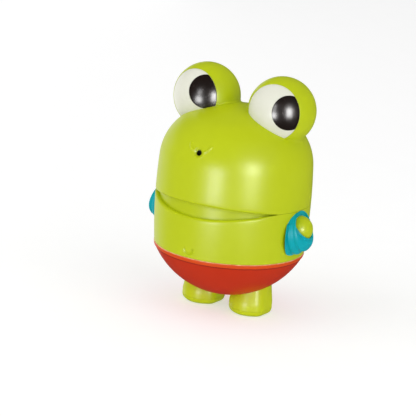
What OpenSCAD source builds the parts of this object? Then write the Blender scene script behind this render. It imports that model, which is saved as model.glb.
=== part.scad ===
// Soft moulded frog squirter with a squeaker: a round frog in swim trunks and arm bands.
// The head lifts off the body at the mouth line, so that the toy can be emptied and dried.
// Millimetres. The frog looks along -Y, its left is +X, and z = 0 is the ground under its feet.

/* [Stance] */
// Height of the waist seam above the ground
waist_z = 22; // [20:0.5:26]

/* [Shells] */
// Widest radius of body and head, at the split between them
body_r = 25.85; // [25:0.05:28]
// Height of the belly shell, from the waist seam to the split
belly_h = 16.8; // [16.8:0.1:20]
// Radius of the long curve of the sides
side_r = 180; // [140:5:400]
// Wall of the moulded shells
wall = 1.8; // [1.5:0.1:2]

/* [Head] */
// Height of the crown above the split
crown_h = 30.75; // [30:0.25:33]
// Radius of the crown's curve
crown_r = 36; // [34:0.5:42]
// Radius of the shoulder curve between crown and sides
shoulder_r = 17.8; // [16:0.2:19]

/* [Mouth] */
// Half the width of the smile, from the middle to a corner
mouth_half_w = 24; // [20:0.2:24.6]
// Rise of the upper lip at its middle
lip_rise = 1.5; // [0.5:0.1:3]
// Drop of the lower lip at its middle
lip_drop = 3.1; // [1:0.1:4]

/* [Neck joint] */
// Wall of the belly's rim, outside the neck
rim_wall = 1.45; // [1.2:0.05:1.8]
// Length of the neck that plugs into the belly
neck_len = 5; // [4.6:0.1:5.1]
// Wall of the neck
neck_wall = 1.6; // [1.2:0.1:2]
// Running clearance around the neck
neck_gap = 0.1; // [0.05:0.05:0.2]
// Line left open at the split, between the two rims
split_gap = 0.2; // [0.1:0.05:0.4]

/* [Eyes] */
// Radius of an eye's hood
hood_r = 11.2; // [10:0.1:12]
// Distance of each eye's centre in from the widest side of the body
eye_inset = 11.35; // [10.5:0.05:12.5]
// Height of the eyes' centres above the top of the crown
eye_rise = 0.15; // [-1:0.05:1.5]
// Distance of the eyes' centres behind the middle
eye_back = 1.8; // [0:0.1:4]
// Angle from an eye's axis to the edge of its hood
hood_angle = 55; // [48:0.5:60]
// Turn of each eye's axis away from the middle
eye_turn = 6; // [0:1:12]
// Lift of each eye's axis
eye_lift = 4; // [0:1:12]
// Depth of the white below the edge of the hood
white_recess = 0.15; // [0.1:0.05:0.4]
// Radius of a pupil
pupil_r = 5.65; // [4.5:0.05:6]
// Height of a pupil above the white
pupil_rise = 0.12; // [0.05:0.01:0.3]
// Angles that the left pupil looks to its left and up
left_gaze_angles = [43, 8];
// Angles that the right pupil looks to its left and up
right_gaze_angles = [29, 18.5];

/* [Nostril] */
// Place of the nostril, as the angle up the shoulder's curve
nostril_angle = 22.5; // [10:0.5:35]
// Diameter of the nostril, where the water leaves
nostril_d = 1.9; // [1.4:0.1:3]
// Diameter of the dimple around the nostril
dimple_d = 3.3; // [3:0.1:4.5]
// Depth of the dimple
dimple_h = 0.6; // [0.3:0.1:0.9]

/* [Navel] */
// Radius of the navel's groove
navel_r = 1.65; // [1.4:0.05:2]
// Height of the navel above the waist seam
navel_up = 2.9; // [2.6:0.1:4]
// Depth of the groove
navel_h = 0.3; // [0.2:0.05:0.4]

/* [Trunks] */
// Depth of the trunks below the waist seam
trunks_h = 16.6; // [15:0.1:18]
// Height of the waistband
band_h = 1.4; // [1:0.1:2]
// Amount that the waistband stands out from the bowl below it
band_step = 0.35; // [0.2:0.05:0.6]
// Amount that the waistband stands out from the belly above it
band_proud = 0.08; // [0:0.02:0.3]
// Height of the collar that plugs into the belly
tuck_h = 3; // [2:0.25:4]
// Wall of that collar
tuck_wall = 1.5; // [1.2:0.1:2]

/* [Feet] */
// Distance between the middles of the feet
foot_spread = 18.6; // [17.4:0.2:20]
// Width of a foot
foot_w = 11.9; // [10.6:0.1:12.4]
// Length of a foot
foot_l = 11.8; // [11:0.1:12.6]
// Amount that a foot narrows on its way up to the trunks
foot_taper = 1.4; // [0:0.1:2]
// Amount that a foot's top leans inwards and forwards
foot_lean = 0.25; // [0:0.05:0.5]
// Radius of a foot's round front, seen from above
foot_front_r = 6.7; // [6.2:0.1:8]
// Radius of its two corners behind
foot_heel_r = 2.4; // [1.8:0.1:3]
// Rounding of a foot's lower edge
foot_edge = 1.3; // [0.6:0.1:1.6]
// Distance of a foot's middle behind the body's middle
foot_back = 0.8; // [0:0.1:1.5]
// Radius of the peg that holds a foot in the trunks
foot_peg_r = 2; // [1.5:0.1:2.5]

/* [Arms] */
// Height above the waist seam of the peg that holds an arm
arm_up = 9.2; // [8.8:0.1:9.6]
// Radius of that peg
arm_peg_r = 1.7; // [1.4:0.1:1.8]
// Radius of a hand
hand_r = 4.2; // [3.8:0.05:4.4]
// Distance of a hand's centre out from the body's side
hand_out = 0.45; // [0.2:0.05:0.8]
// Height of a hand's centre above the arm's peg
hand_up = 1.7; // [1.2:0.1:2]
// Outer radius of an arm band
band_r = 7.3; // [7:0.05:7.6]
// Radius of the round back of its ribs
rib_round = 2.4; // [1.8:0.1:3]
// Turn of an arm band to the back
band_turn = 7; // [0:1:14]
// Lift of the rim around the hand above upright
rim_lift = 36; // [32:1:40]
// Radius of the pin that keeps an arm band from turning
key_r = 0.8; // [0.5:0.1:1]
// Height of that pin above the waist seam
key_up = 4.6; // [4.2:0.1:5]

/* [Squeaker] */
// Radius of the squeaker's body
pot_r = 3.6; // [3.4:0.1:3.8]
// Height of the squeaker's body above its flange
pot_h = 7; // [6.5:0.25:9]
// Wall of the squeaker's body
pot_wall = 0.85; // [0.7:0.05:1]
// Radius of its flange
flange_r = 4.2; // [4:0.05:4.3]
// Thickness of its flange
flange_t = 0.8; // [0.6:0.1:1]
// Thickness of the reed
reed_t = 0.22; // [0.15:0.01:0.3]
// Length of the reed, from its root to its tip
reed_l = 3.7; // [3:0.1:3.9]
// Width of the reed
reed_w = 1.5; // [1.2:0.1:1.8]

/* [Hidden] */
$fn = 96;
// Chords of the sides' long curve, and sides of the large circles that cut the lips
side_steps = 10;
large_fn = 240;
// Sides of the small pieces of the feet, which hull() turns into facets
foot_fn = 32;

skin_green = [0.74, 0.82, 0.14];
trunks_red = [0.82, 0.22, 0.10];
band_teal = [0.0, 0.66, 0.74];
eye_white = [0.93, 0.93, 0.87];
pupil_black = [0.14, 0.10, 0.09];

// Clearance of glued and pressed pieces, and overrun of every cut
fit = 0.05;
cut = 1;
big = 2 * body_r;
// Gap under the end of the neck
neck_seat = 0.3;

// Heights of the split and of the crown
split_z = waist_z + belly_h;
crown_z = split_z + crown_h;

// Centres of the side arc and of the crown arc, then of the shoulder arc that touches both
side_c = [body_r - side_r, split_z];
crown_c = [0, crown_z - crown_r];
side_reach = side_r - shoulder_r;
crown_reach = crown_r - shoulder_r;
apart = norm(crown_c - side_c);
along = (side_reach * side_reach - crown_reach * crown_reach + apart * apart) / (2 * apart);
across = sqrt(side_reach * side_reach - along * along);
way = (crown_c - side_c) / apart;
shoulder_c = side_c + along * way + across * [-way[1], way[0]];
// Points where the shoulder arc meets the side arc and the crown arc
side_end = side_c + side_r * (shoulder_c - side_c) / side_reach;
crown_end = crown_c + crown_r * (shoulder_c - crown_c) / crown_reach;
// The crown and side arcs stop this short of the touching points, within a hundredth of the shoulder
arc_ease = 0.6;

// Radii of the neck joint, from the rim inwards
socket_r = body_r - rim_wall;
neck_r = socket_r - neck_gap;
neck_in_r = neck_r - neck_wall;
belly_in_r = neck_in_r + neck_gap;
neck_root = 3;

// Waist and trunks
waist_r = side_radius(waist_z);
band_top_r = waist_r + band_proud;
bowl_rim_r = waist_r + band_proud - band_step;
bowl_h = trunks_h - band_h;
bowl_r = (bowl_rim_r * bowl_rim_r + bowl_h * bowl_h) / (2 * bowl_h);
bowl_z = waist_z - trunks_h;
bowl_c = bowl_z + bowl_r;
tuck_r = belly_in_r - fit;

// Eyes
plane_d = hood_r * cos(hood_angle);
white_r = hood_r - white_recess;
pupil_top_r = white_r + pupil_rise;
// Depth that a pupil's edge sits in the white, and the distance of its flat back from the centre
pupil_seat = 0.6;
pupil_back = sqrt(white_r * white_r - pupil_r * pupil_r) - pupil_seat;
// Plug that holds the white in its hood: its radius leaves a rim, its depth leaves a floor
eye_plug_rim = 2;
eye_plug_r = sqrt(white_r * white_r - plane_d * plane_d) - eye_plug_rim;
eye_plug_floor = 0.8;
eye_plug_end = plane_d - wall + eye_plug_floor;
eye_x = body_r - eye_inset;

// Nostril: the point on the shoulder's curve, and the boss that carries the bore inside
nostril_at = shoulder_c + shoulder_r * [cos(nostril_angle), sin(nostril_angle)];
nostril_wall = 1.4;
nostril_boss_in = 1.2;
nostril_boss_r = nostril_d / 2 + nostril_wall;
nostril_boss_h = wall + nostril_boss_in;
// Round that cuts the navel's groove
navel_cut_r = 0.45;

// Feet: the posts at the sides and on the round front, and the height that ends inside the bowl
foot_side_r = 2;
foot_side_ahead = 1.75;
foot_toe_r = 3;
foot_toe_angle = 32;
foot_sink = 5.5;
foot_top_z = bowl_z + foot_sink;
foot_peg_z = bowl_c - sqrt(pow(bowl_r - wall, 2) - pow(foot_spread / 2, 2) - pow(foot_back, 2));

// Arm bands: each rib's place out and up from the peg's root and its radius, as shares of the
// band's radius, then the ribs' lifts above upright, and the rim's place as shares
arm_root_r = side_radius(waist_z + arm_up);
rib_shares = [[-0.18, -0.01, 1], [-0.04, 0.06, 0.96], [0.14, 0.12, 0.88]];
rib_lifts = [0, 12, 24];
rim_shares = [0.22, 0.3];
rib_core = 1.8;
hand_seat = 0.05;
pin_clear = 0.4;
pin_root = 0.8;
pin_l = arm_root_r + pin_root - belly_in_r;

// Squeaker
spot_h = 1.1;
spot_z = bowl_z + spot_h;
collar_r = pot_r + wall;
collar_h = 4;
pot_in_r = pot_r - pot_wall;
pot_ledge = 0.5;
chamber_r = pot_in_r - pot_ledge;
chamber_h = 3.4;
sound_hole_r = 1.1;
plate_z = spot_z + chamber_h;
plate_t = 0.8;
cap_t = 0.7;
cap_plug_h = 0.6;
cap_hole_r = 0.35;
cap_holes = 6;
reed_root_r = 0.28;
reed_play = 0.05;
reed_root_y = -reed_l / 2;
reed_z = plate_z + plate_t + reed_root_r + reed_play;
slot_share = 0.55;
clamp_w = 2.4;
clamp_back = 0.5;
clamp_front = 0.45;
clamp_top = 0.45;

// Radius of the body's side at height z
function side_radius(z) = side_c[0] + sqrt(side_r * side_r - pow(z - side_c[1], 2));

// Turns +Z to look az degrees to the frog's left of straight ahead and el degrees up
module aim(az, el) rotate([0, 0, az]) rotate([90 - el, 0, 0]) children();

// Draws its children on the frog's left for side 1, on its right for side -1
module on_side(side) {
  if (side > 0) children();
  else mirror([1, 0, 0]) children();
}

module box_2d(x0, y0, x1, y1) translate([x0, y0]) square([x1 - x0, y1 - y0]);

module disc(r, z0, z1) translate([0, 0, z0]) cylinder(r = r, h = z1 - z0);

// Half outline of the sides between two heights: the long curve in short chords, moved out by grow
module side_outline(z0, z1, grow = 0) {
  step = (z1 - z0) / side_steps;
  polygon([[0, z0], for (i = [0 : side_steps]) [side_radius(z0 + i * step) + grow, z0 + i * step], [0, z1]]);
}

// Half outline of the head above height z0: crown, shoulder and side arcs, moved out by grow
module dome_outline(z0, grow = 0) {
  intersection() {
    translate(crown_c) circle(crown_r + grow);
    box_2d(0, z0, crown_end[0] - arc_ease, big + crown_z);
  }
  intersection() {
    translate(shoulder_c) circle(shoulder_r + grow);
    box_2d(0, z0, big, big + crown_z);
  }
  side_outline(z0, side_end[1] - arc_ease, grow);
}

module dome(z0, grow = 0) rotate_extrude() dome_outline(z0, grow);

// The body's barrel between two heights
module barrel(z0, z1, grow = 0) rotate_extrude() side_outline(z0, z1, grow);

// Lens between the split and a lip's curve, cut through the front: rise above 0, drop below
module lip_lens(rise) {
  lens_r = (mouth_half_w * mouth_half_w + rise * rise) / (2 * abs(rise));
  lens_c = split_z + rise - sign(rise) * lens_r;
  below = rise > 0 ? 0 : abs(rise) + cut;
  intersection() {
    translate([0, 0, lens_c]) rotate([90, 0, 0]) cylinder(r = lens_r, h = big, $fn = large_fn);
    translate([-mouth_half_w, -big, split_z - below])
      cube([2 * mouth_half_w, big, below + max(rise, 0) + cut]);
  }
}

module at_eye(side) translate([side * eye_x, eye_back, crown_z + eye_rise]) children();

// Everything in front of an eye's plane, moved forward by ahead
module front_of_eye(side, ahead = 0) aim(side * eye_turn, eye_lift)
  disc(2 * hood_r, plane_d + ahead, 2 * hood_r);

module hood(side, r, behind = 0) at_eye(side) difference() {
  sphere(r);
  front_of_eye(side, -behind);
}

module at_nostril() translate([0, -nostril_at[0], nostril_at[1]]) aim(0, nostril_angle) children();

// Plug of an eye's white where it is clear of the dome, larger by grow all round
module eye_plug(side, grow) difference() {
  at_eye(side) aim(side * eye_turn, eye_lift)
    disc(eye_plug_r + grow, eye_plug_end - grow, plane_d + fit);
  dome(split_z, fit - grow);
}

module neck() difference() {
  disc(neck_r, split_z - neck_len, split_z + neck_root);
  disc(neck_in_r, split_z - neck_len - cut, split_z + neck_root + cut);
}

module head_shell() color(skin_green) difference() {
  union() {
    difference() {
      union() {
        dome(split_z + split_gap / 2);
        for (side = [-1, 1]) hood(side, hood_r);
      }
      dome(split_z, -wall);
      for (side = [-1, 1]) hood(side, hood_r - wall, wall);
      // The upper lip is cut from the skin outside the neck
      difference() {
        lip_lens(lip_rise);
        disc(neck_r, split_z - cut, split_z + lip_rise + cut);
      }
    }
    neck();
    at_nostril() disc(nostril_boss_r, -nostril_boss_h, -wall / 2);
  }
  at_nostril() {
    disc(nostril_d / 2, -nostril_boss_h - cut, cut);
    translate([0, 0, -dimple_h])
      cylinder(r1 = nostril_d / 2, r2 = dimple_d - nostril_d / 2, h = 2 * dimple_h);
  }
  for (side = [-1, 1]) eye_plug(side, fit);
}

// Pupil's round block along its gaze, with its domed face at radius r
module pupil_block(gaze, r, back) intersection() {
  sphere(pupil_top_r);
  aim(gaze[0], gaze[1]) disc(r, back, 2 * hood_r);
}

module eye(side, gaze) color(eye_white) union() {
  difference() {
    at_eye(side) difference() {
      intersection() {
        sphere(white_r);
        front_of_eye(side);
      }
      aim(gaze[0], gaze[1]) disc(pupil_r + fit, pupil_back - fit, 2 * hood_r);
    }
    dome(split_z, fit);
  }
  eye_plug(side, 0);
}

module pupil(side, gaze) color(pupil_black) difference() {
  at_eye(side) intersection() {
    pupil_block(gaze, pupil_r, pupil_back);
    front_of_eye(side, 2 * fit);
  }
  dome(split_z, fit);
}

module left_eye() eye(1, left_gaze_angles);
module right_eye() eye(-1, right_gaze_angles);
module left_pupil() pupil(1, left_gaze_angles);
module right_pupil() pupil(-1, right_gaze_angles);

// Root of an arm on the body's side
module at_arm(side) on_side(side) translate([arm_root_r, 0, waist_z + arm_up]) children();

// Frame of a level pin: +Z outwards, zero where the pin ends inside the belly's wall
module at_pin(side, up) on_side(side) translate([belly_in_r + pin_clear, 0, waist_z + up])
  rotate([0, 90, 0]) children();

module belly_shell() color(skin_green) difference() {
  barrel(waist_z, split_z - split_gap / 2);
  disc(belly_in_r, waist_z - cut, split_z + cut);
  disc(socket_r, split_z - neck_len - neck_seat, split_z + cut);
  lip_lens(-lip_drop);
  // The navel's groove runs round the lower half of a ring
  translate([0, -side_radius(waist_z + navel_up), waist_z + navel_up]) aim(0, 0)
    translate([0, 0, navel_cut_r - navel_h]) rotate_extrude(angle = 180, start = 180)
      translate([navel_r, 0]) circle(navel_cut_r);
  for (side = [-1, 1]) {
    at_pin(side, arm_up) disc(arm_peg_r + fit, -fit, pin_l + cut);
    at_pin(side, key_up) disc(key_r + fit, -fit, pin_l + cut);
  }
}

module swim_trunks() color(trunks_red) difference() {
  union() {
    difference() {
      union() {
        disc_between(band_top_r, bowl_rim_r + band_step / 2, waist_z, waist_z - band_h);
        intersection() {
          translate([0, 0, bowl_c]) sphere(bowl_r);
          disc(body_r, bowl_z - cut, waist_z - band_h);
        }
      }
      translate([0, 0, bowl_c]) sphere(bowl_r - wall);
    }
    difference() {
      disc(tuck_r, waist_z - 2 * band_h, waist_z + tuck_h);
      disc(tuck_r - tuck_wall, waist_z - 2 * band_h - cut, waist_z + tuck_h + cut);
    }
    disc(collar_r, spot_z, spot_z + collar_h);
  }
  disc(flange_r + fit, bowl_z - cut, spot_z);
  disc(pot_r + fit, bowl_z - cut, spot_z + collar_h + cut);
  for (side = [-1, 1]) at_foot(side) disc(foot_peg_r + fit, 0, waist_z);
}

// Ring with radius r0 at height z0 and r1 at the lower height z1
module disc_between(r0, r1, z0, z1) translate([0, 0, z1]) cylinder(r1 = r1, r2 = r0, h = z0 - z1);

module at_foot(side) on_side(side) translate([foot_spread / 2, foot_back, 0]) children();

// Round post of a foot with a rounded lower edge
module foot_post(r, z0, z1) rotate_extrude($fn = foot_fn) {
  box_2d(0, z0, r - foot_edge, z1);
  box_2d(0, z0 + foot_edge, r, z1);
  intersection() {
    translate([r - foot_edge, z0 + foot_edge]) circle(foot_edge);
    box_2d(0, z0, r, z1);
  }
}

// Posts of a foot that is w wide and l long, between two heights: two corners behind, one post
// at each side, and three on the round front
module foot_posts(w, l, z0, z1) {
  for (x = [-1, 1]) {
    translate([x * (w / 2 - foot_heel_r), l / 2 - foot_heel_r, 0]) foot_post(foot_heel_r, z0, z1);
    translate([x * (w / 2 - foot_side_r), -foot_side_ahead, 0]) foot_post(foot_side_r, z0, z1);
  }
  translate([0, foot_front_r - l / 2, 0]) for (turn = [-1 : 1]) rotate([0, 0, turn * foot_toe_angle])
    translate([0, foot_toe_r - foot_front_r, 0]) foot_post(foot_toe_r, z0, z1);
}

// Block of a foot, which flares towards the ground and leans inwards and forwards above it
module foot_block() hull() {
  foot_posts(foot_w, foot_l, 0, 2 * foot_edge);
  translate([-foot_lean, -foot_lean, 0])
    foot_posts(foot_w - foot_taper, foot_l - foot_taper, foot_top_z, foot_top_z + 2 * foot_edge);
}

module foot(side) color(skin_green) union() {
  difference() {
    at_foot(side) foot_block();
    translate([0, 0, bowl_c]) sphere(bowl_r + fit);
  }
  at_foot(side) disc(foot_peg_r, foot_edge, foot_peg_z);
}

module left_foot() foot(1);
module right_foot() foot(-1);

// Ball of a hand about its own centre, with its pole outwards
module hand_ball(r) translate([hand_out, 0, hand_up]) rotate([0, 90, 0]) sphere(r);

module arm(side) color(skin_green) union() {
  difference() {
    at_arm(side) hand_ball(hand_r);
    barrel(waist_z - cut, split_z + cut, fit);
  }
  at_pin(side, arm_up) disc(arm_peg_r, 0, pin_l);
}

module left_arm() arm(1);
module right_arm() arm(-1);

// Turns +Z outwards along a band's axis with this lift above upright
module band_axis(lift) rotate([0, 0, band_turn]) rotate([0, 90 - lift, 0]) children();

// Round-backed disc of one rib. The discs fan out below the arm and close up above it.
module rib(shares, lift) translate([band_r * shares[0], 0, band_r * shares[1]]) band_axis(lift)
  rotate_extrude() {
    box_2d(0, -rib_core, band_r * shares[2] - rib_round, rib_core);
    translate([band_r * shares[2] - rib_round, 0]) circle(rib_round);
  }

// Everything in front of the rim around the hand
module front_of_rim() translate([band_r * rim_shares[0], 0, band_r * rim_shares[1]])
  band_axis(rim_lift) disc(2 * band_r, 0, 2 * band_r);

module arm_band(side) color(band_teal) union() {
  for (i = [0 : len(rib_lifts) - 1]) difference() {
    at_arm(side) rib(rib_shares[i], rib_lifts[i]);
    barrel(waist_z - cut, split_z + cut, fit);
    at_arm(side) {
      front_of_rim();
      hand_ball(hand_r + hand_seat);
    }
  }
  at_pin(side, key_up) disc(key_r, 0, pin_l);
}

module left_arm_band() arm_band(1);
module right_arm_band() arm_band(-1);

module squeaker_pot() color("white") difference() {
  union() {
    disc(flange_r, spot_z - flange_t, spot_z);
    disc(pot_r, spot_z - flange_t, spot_z + pot_h);
  }
  disc(sound_hole_r, spot_z - flange_t - cut, spot_z + cut);
  disc(chamber_r, spot_z, plate_z + cut);
  disc(pot_in_r, plate_z, spot_z + pot_h + cut);
}

module squeaker_reed_plate() color("gold") difference() {
  union() {
    disc(pot_in_r - fit, plate_z, plate_z + plate_t);
    translate([-clamp_w / 2, reed_root_y - clamp_back, plate_z])
      cube([clamp_w, clamp_back + clamp_front, reed_z - plate_z + clamp_top]);
  }
  translate([-slot_share * reed_w / 2, reed_root_y + clamp_front, plate_z - cut])
    cube([slot_share * reed_w, reed_l - 2 * clamp_front, plate_t + 2 * cut]);
  translate([0, reed_root_y, reed_z]) rotate([0, 90, 0])
    cylinder(r = reed_root_r + reed_play, h = 2 * pot_r, center = true);
  translate([-clamp_w, reed_root_y, reed_z - reed_t / 2 - reed_play])
    cube([2 * clamp_w, clamp_front + cut, reed_t + 4 * reed_play]);
}

module squeaker_reed() color("silver") {
  translate([0, reed_root_y, reed_z]) {
    rotate([0, 90, 0]) cylinder(r = reed_root_r, h = reed_w, center = true);
    translate([-reed_w / 2, 0, -reed_t / 2]) cube([reed_w, reed_l, reed_t]);
  }
}

module squeaker_cap() color("white") difference() {
  union() {
    disc(pot_r, spot_z + pot_h, spot_z + pot_h + cap_t);
    disc(pot_in_r - fit, spot_z + pot_h - cap_plug_h, spot_z + pot_h);
  }
  for (i = [1 : cap_holes]) rotate([0, 0, i * 360 / cap_holes]) translate([pot_in_r / 2, 0, 0])
    disc(cap_hole_r, spot_z, spot_z + pot_h + cap_t + cut);
}

head_shell();
left_eye();
right_eye();
left_pupil();
right_pupil();
belly_shell();
swim_trunks();
left_foot();
right_foot();
left_arm();
right_arm();
left_arm_band();
right_arm_band();
squeaker_pot();
squeaker_reed_plate();
squeaker_reed();
squeaker_cap();
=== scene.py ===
"""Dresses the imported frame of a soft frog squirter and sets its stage.

Lengths of the shapes are millimetres, and put_mesh() writes metres. Materials and the stage are
in metres. The frog looks along -Y, its left is +X, and z = 0 is the ground. Azimuths are degrees
from -Y towards +X.
"""

from math import acos, asin, atan2, cos, degrees, radians, sin, sqrt

import bpy
import numpy as np
from mathutils import Matrix, Vector


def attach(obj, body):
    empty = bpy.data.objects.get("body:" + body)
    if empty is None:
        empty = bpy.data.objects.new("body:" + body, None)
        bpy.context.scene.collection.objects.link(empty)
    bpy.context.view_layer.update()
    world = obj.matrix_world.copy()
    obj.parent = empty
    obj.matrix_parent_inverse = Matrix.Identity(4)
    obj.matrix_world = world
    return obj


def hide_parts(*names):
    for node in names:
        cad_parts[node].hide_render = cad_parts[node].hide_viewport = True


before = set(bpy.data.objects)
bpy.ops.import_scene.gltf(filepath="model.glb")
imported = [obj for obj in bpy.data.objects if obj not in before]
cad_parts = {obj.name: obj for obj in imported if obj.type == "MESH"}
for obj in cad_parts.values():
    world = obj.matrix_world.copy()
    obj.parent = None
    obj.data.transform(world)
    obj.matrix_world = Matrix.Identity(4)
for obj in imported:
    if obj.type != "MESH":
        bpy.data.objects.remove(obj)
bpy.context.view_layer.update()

bl_info = {
    "name": "Bath Toy Frog",
    "version": (1, 0, 0),
    "blender": (4, 5, 0),
    "location": "View3D > Sidebar > Bath Toy",
    "description": "Makes the smooth skins, eyes, bands and feet of a frog squirter and its stage",
    "category": "Object",
}

MM = 0.001

# Heights of the solids: waist seam, split between the shells, top of the crown
WAIST_Z = 22.0
SPLIT_Z = 38.8
CROWN_Z = 69.55
# The skin's profile is three arcs that touch, each (radius, height) of its centre and its radius
BODY_R = 25.85
SIDE_R = 180.0
SIDE_C = (BODY_R - SIDE_R, SPLIT_Z)
CROWN_R = 36.0
CROWN_C = (0.0, CROWN_Z - CROWN_R)
SHOULDER_R = 17.8
SHOULDER_C = (7.6587, 50.0601)
# Angles of the shoulder's arc where it meets the crown's arc and the sides' arc
CROWN_JOIN = degrees(atan2(SHOULDER_C[1] - CROWN_C[1], SHOULDER_C[0] - CROWN_C[0]))
SIDE_JOIN = degrees(atan2(SHOULDER_C[1] - SIDE_C[1], SHOULDER_C[0] - SIDE_C[0]))
WALL = 1.8

# Mouth: half width of the smile, rise and drop of the lips, and the gap at the split
MOUTH_W = 24.0
LIP_RISE = 1.5
LIP_DROP = 3.1
SPLIT_GAP = 0.07
# Neck of the head and its socket in the belly
NECK_R = 24.37
NECK_IN_R = 22.7
NECK_END_Z = 33.8
NECK_ROOT_Z = 41.8
NECK_ROUND = 0.3
SOCKET_R = 24.4
SOCKET_FLOOR_Z = 33.5
BELLY_IN_R = 22.8

# Eyes: radii, centre, axis, the plane of the hood's edge along it, the round of the whites' and
# pupils' edges, and where the pupils look
HOOD_R = 11.2
WHITE_R = 11.05
PUPIL_TOP_R = 11.17
PUPIL_R = 5.65
PUPIL_BACK_R = 10.6
EYE_AT = (14.5, 1.8, 69.7)
EYE_TURN = 6.0
EYE_LIFT = 4.0
EYE_PLANE = 6.424
EYE_EDGE = 0.12
GAZES = {"left": (43.0, 8.0), "right": (29.0, 18.5)}

# Nostril: angle up the shoulder's arc, place, bore, dimple, the boss inside, the window of fine
# mesh round it, as half its width and its ends down and up, and the circle of the creases
NOSTRIL_ANGLE = 22.5
NOSTRIL_OUT = SHOULDER_C[0] + SHOULDER_R * cos(radians(NOSTRIL_ANGLE))
NOSTRIL_Z = SHOULDER_C[1] + SHOULDER_R * sin(radians(NOSTRIL_ANGLE))
NOSTRIL_R = 0.95
DIMPLE_R = 1.75
DIMPLE_H = 0.6
BORE_L = 2.9
BOSS_R = 2.35
BOSS_END = 3.0
WINDOW_HALF = 5.2
WINDOW_ENDS = (-2.6, 3.9)
CREASE_ARC_R = 4.4
CREASE_UP = 4.2
CREASE_ANGLES = (-66.0, -10.0)

# Navel: height and radius of the groove, and half the width of the fine columns round it
NAVEL_Z = 24.9
NAVEL_R = 1.65
NAVEL_WINDOW = 3.0

# Trunks: waistband, bowl, tuck collar and the squeaker's seat
BAND_H = 1.4
BAND_TOP_R = 25.144
BOWL_RIM_R = 24.794
BOWL_R = 27.82
BOWL_C = 33.22
TUCK_R = 22.75
TUCK_IN_R = 21.25
TUCK_TOP_Z = 25.0
SEAT_Z = 6.5
SEAT_R = 4.25
POT_R = 3.65
COLLAR_R = 5.4
COLLAR_TOP_Z = 10.5

# Feet: middle, width and length at the ground and the loss on the way up, and the rounds that
# their outline is drawn tight around: two heels, two sides and the row along the round front
FOOT_AT = (9.3, 0.8)
FOOT_SIZE = (13.2, 12.6)
FOOT_TAPER = 2.0
FOOT_LEAN = 1.1
FOOT_TOP_Z = 10.9
FOOT_EDGE = 2.1
HEEL_R = 3.4
FOOT_SIDE_R = 4.2
FOOT_SIDE_Y = -1.0
TOE_R = 5.0
FRONT_R = 6.9
TOE_ANGLES = (-40, -30, -20, -10, 0, 10, 20, 30, 40)

# Arms: root on the side, hand, and the rings of a band, each its place out and up from the root,
# its radius, and its lift above upright. The rim's own radius follows from the hand.
ARM_ROOT = (25.70, 31.2)
HAND_R = 4.4
HAND_AT = (26.1, 32.7)
BAND_TURN = 7.0
BAND_RINGS = ((-1.2, -0.15, 7.9, 0.0), (-0.1, 0.4, 7.35, 9.0), (2.0, 1.2, 6.55, 15.0))
RIM_LIFT = 42.0
RIM_PLACE = (1.45, 2.05)
# Gaps between a hand and its band, and between both and the belly's side
HAND_GAP = 0.04
SIDE_GAP = 0.03

# Depth under the skin, in the middle of the wall, at which buried parts of eyes and feet end
BURIED = 0.9

# Camera: direction, roll, distance in metres, pixels per unit of slope, and the waist's pixel
VIEW_AZIMUTH = 30.8
VIEW_ELEVATION = 15.6
VIEW_ROLL = 5.0
VIEW_DISTANCE = 0.6667
FRAME_PX = 416
FOCAL_PX = 2000.0
SENSOR_MM = 36.0
WAIST_PX = (229.1, 243.4)

SIDES = ((1, "left"), (-1, "right"))

# Stage, in metres: half the floor's width, the height that lights face, their distances from
# there, and the fills' size
FLOOR_HALF = 4.0
LIGHTS_AIM_Z = 0.042
BOX_DISTANCE = 0.6
FILL_DISTANCE = 1.5
FILL_SIZE = (1.4, 1.4)
# Share of the sky that glossy pieces don't mirror, and its least level for the camera
SKY_DIMMED = 0.85
SKY_SEEN = 0.97
# Pieces that a light may be kept to. The pupils face higher than the sides, so they have soft
# boxes of their own, and the bowl shades the feet, so they have a low fill.
LIT_GROUPS = {
    "pupils": ("left_eye_pupil", "right_eye_pupil"),
    "feet": ("left_webless_foot", "right_webless_foot"),
}
# Lights seen only as gleams: azimuth, elevation, width, height, share of the power, and group
SOFT_BOXES = {
    "left soft box": (3.5, -4, 0.2, 0.2, 1.15, None),
    "right soft box": (55, 8, 0.19, 0.3, 1.65, None),
    "left pupil box": (3.5, 19, 0.11, 0.22, 0.32, "pupils"),
    "right pupil box": (55, 19, 0.11, 0.22, 0.22, "pupils"),
    "left veil": (-115, -5, 0.7, 0.5, 0.3, None),
}
# Lights that shade softly and aren't mirrored: azimuth, elevation, share of the power, and group
FILLS = {
    "left fill": (-35, 36, 1, None),
    "right fill": (70, 36, 0.85, None),
    "low fill": (15, 5, 1.1, "feet"),
}


# Shapes


def arc(centre, radius, start, end, steps):
    """Points centre + radius * (cos a, sin a), with a running from start to end degrees."""
    a = np.radians(np.linspace(start, end, steps + 1))
    return np.stack([centre[0] + radius * np.cos(a), centre[1] + radius * np.sin(a)], -1)


def line(start, end, steps=1):
    """Points spaced evenly from start to end."""
    return np.linspace(start, end, steps + 1)


def smooth(x):
    """3x^2 - 2x^3 of x held between 0 and 1."""
    x = np.clip(x, 0, 1)
    return x * x * (3 - 2 * x)


def turned(radius, height, azimuth):
    """Points (r sin a, -r cos a, z): a profile turned about the upright axis by azimuth a."""
    a = np.radians(azimuth)
    return np.stack(
        np.broadcast_arrays(radius * np.sin(a), -radius * np.cos(a), height + 0 * a), -1
    )


def full_turn(steps):
    """Angles of a whole turn in radians, the last one the same as the first."""
    turn = np.linspace(0, 2 * np.pi, steps + 1)
    turn[-1] = 0
    return turn


def crossing(axis, reference=(0, 0, 1)):
    """Two unit vectors square to an axis and to each other, the first also to the reference."""
    across = np.cross(reference, axis)
    across /= np.linalg.norm(across)
    return across, np.cross(axis, across)


def spokes(turn, first, second):
    """Unit vectors at each turn from the first vector towards the second."""
    return np.cos(turn)[:, None] * first + np.sin(turn)[:, None] * second


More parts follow.
